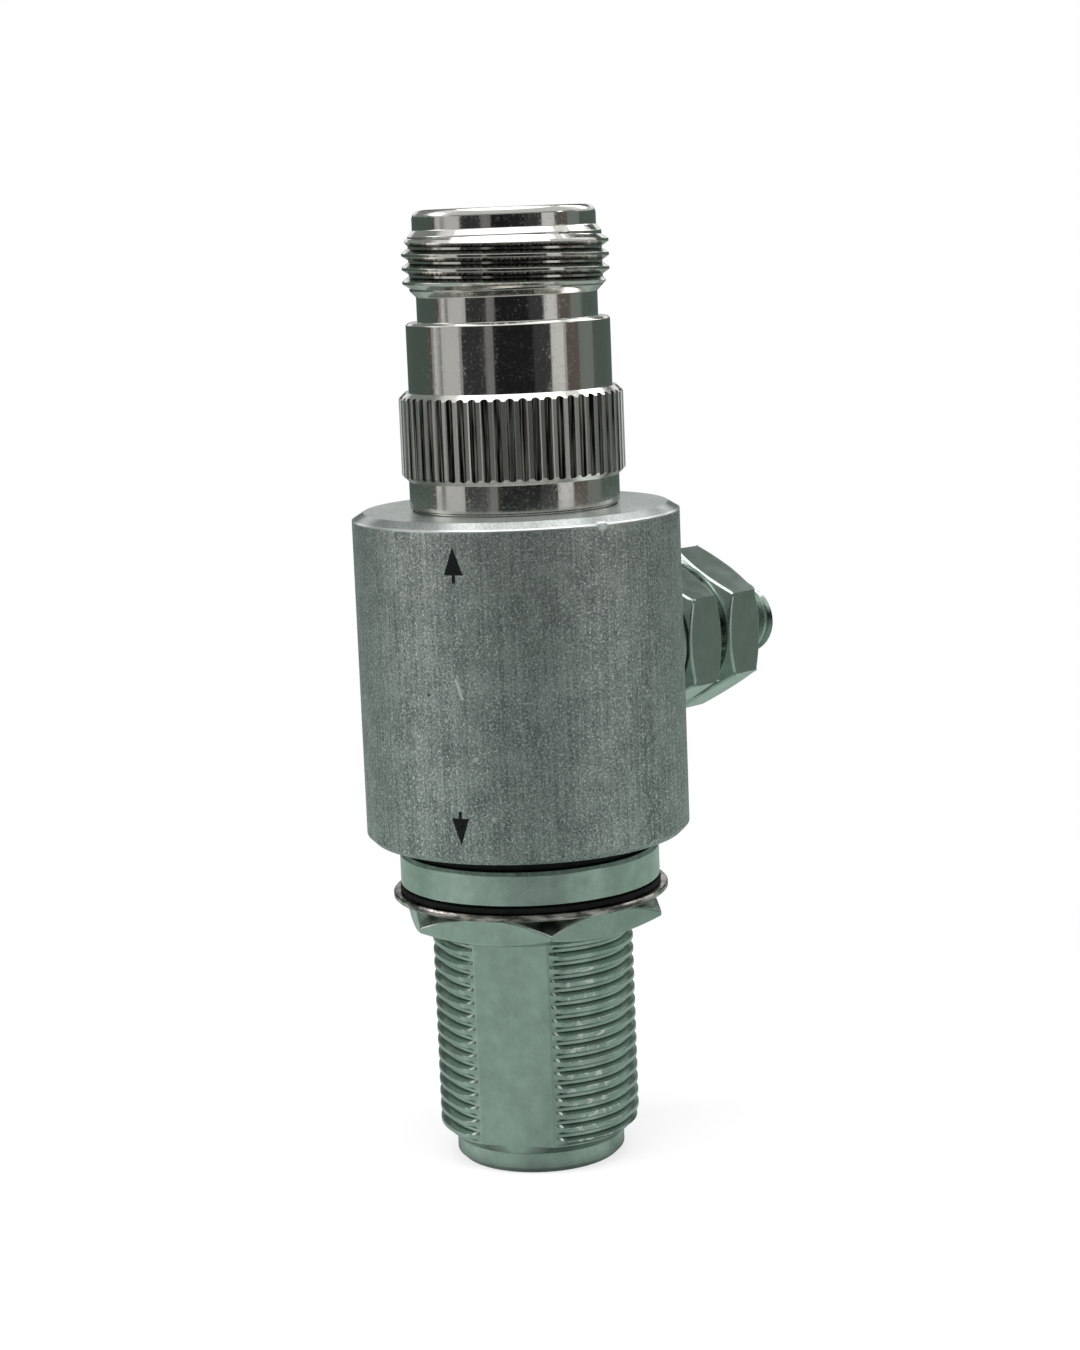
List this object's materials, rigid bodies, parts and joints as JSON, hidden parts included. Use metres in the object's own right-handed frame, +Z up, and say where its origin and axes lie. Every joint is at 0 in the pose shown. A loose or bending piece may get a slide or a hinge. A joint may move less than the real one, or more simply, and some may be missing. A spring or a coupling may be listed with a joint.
{
  "type": "coax lightning arrestor",
  "caption": "Upright coaxial surge arrestor: turned housing with a threaded jack at each end, a bulkhead nut, and a side grounding stud that closes a gas tube port.",
  "frame": {"origin": "centre of the lower jack's end face, on which the part stands", "axes": "+Z up through both jacks, towards the equipment side; +X out through the grounding stud"},
  "size_m": [0.0413, 0.0254, 0.0746],
  "materials": {
    "turned_aluminium": "satin",
    "bright_nickel": "polished",
    "satin_nickel": "satin",
    "plated_contact": "gloss",
    "plain_brass": "satin",
    "white_ptfe": "satin",
    "white_ceramic": "matte",
    "black_rubber": "matte"
  },
  "bodies": {
    "body": {"housing": "turned_aluminium", "equipment_shell": "bright_nickel", "equipment_insulator": "white_ptfe", "equipment_contact": "plated_contact", "equipment_retaining_ring": "plain_brass", "equipment_shell_seal": "black_rubber", "antenna_shell": "satin_nickel", "antenna_insulator": "white_ptfe", "antenna_contact": "plated_contact", "antenna_retaining_ring": "plain_brass", "antenna_shell_seal": "black_rubber", "panel_gasket": "black_rubber", "centre_conductor": "plain_brass", "gas_tube_ceramic": "white_ceramic", "gas_tube_inner_electrode": "satin_nickel", "gas_tube_outer_electrode": "satin_nickel", "gas_tube_spring": "plated_contact"},
    "nut_washer": {"panel_washer": "satin_nickel"},
    "mounting_nut": {"panel_nut": "satin_nickel"},
    "seal": {"cap_seal": "black_rubber"},
    "cap": {"ground_cap": "satin_nickel"},
    "stud_washer": {"ground_washer": "satin_nickel"},
    "stud_nut": {"ground_nut": "satin_nickel"}
  },
  "joints": [
    {"name": "panel_washer_slide", "type": "slide", "parent": "body", "child": "nut_washer", "axis": [0, 0, -1], "range_m": [0, 0.01799]},
    {"name": "panel_nut_turn", "type": "hinge", "parent": "nut_washer", "child": "mounting_nut", "pos_m": [0, 0, 0.02015], "axis": [0, 0, -1], "range_deg": [0, 6120]},
    {"name": "cap_seal_slide", "type": "slide", "parent": "body", "child": "seal", "axis": [1, 0, 0], "range_m": [0, 0.00299]},
    {"name": "ground_cap_turn", "type": "hinge", "parent": "seal", "child": "cap", "pos_m": [0.0158, 0, 0.0394], "axis": [1, 0, 0], "range_deg": [0, 1080]},
    {"name": "ground_washer_slide", "type": "slide", "parent": "cap", "child": "stud_washer", "axis": [1, 0, 0], "range_m": [0, 0.00761]},
    {"name": "ground_nut_turn", "type": "hinge", "parent": "stud_washer", "child": "stud_nut", "pos_m": [0.0209, 0, 0.0394], "axis": [1, 0, 0], "range_deg": [0, 2160]}
  ],
  "couplings": [
    {"joint": "panel_nut_turn", "follows": "panel_washer_slide", "rad_per_m": 5936.9},
    {"joint": "ground_cap_turn", "follows": "cap_seal_slide", "rad_per_m": 6283.2},
    {"joint": "ground_nut_turn", "follows": "ground_washer_slide", "rad_per_m": 4947.4}
  ]
}
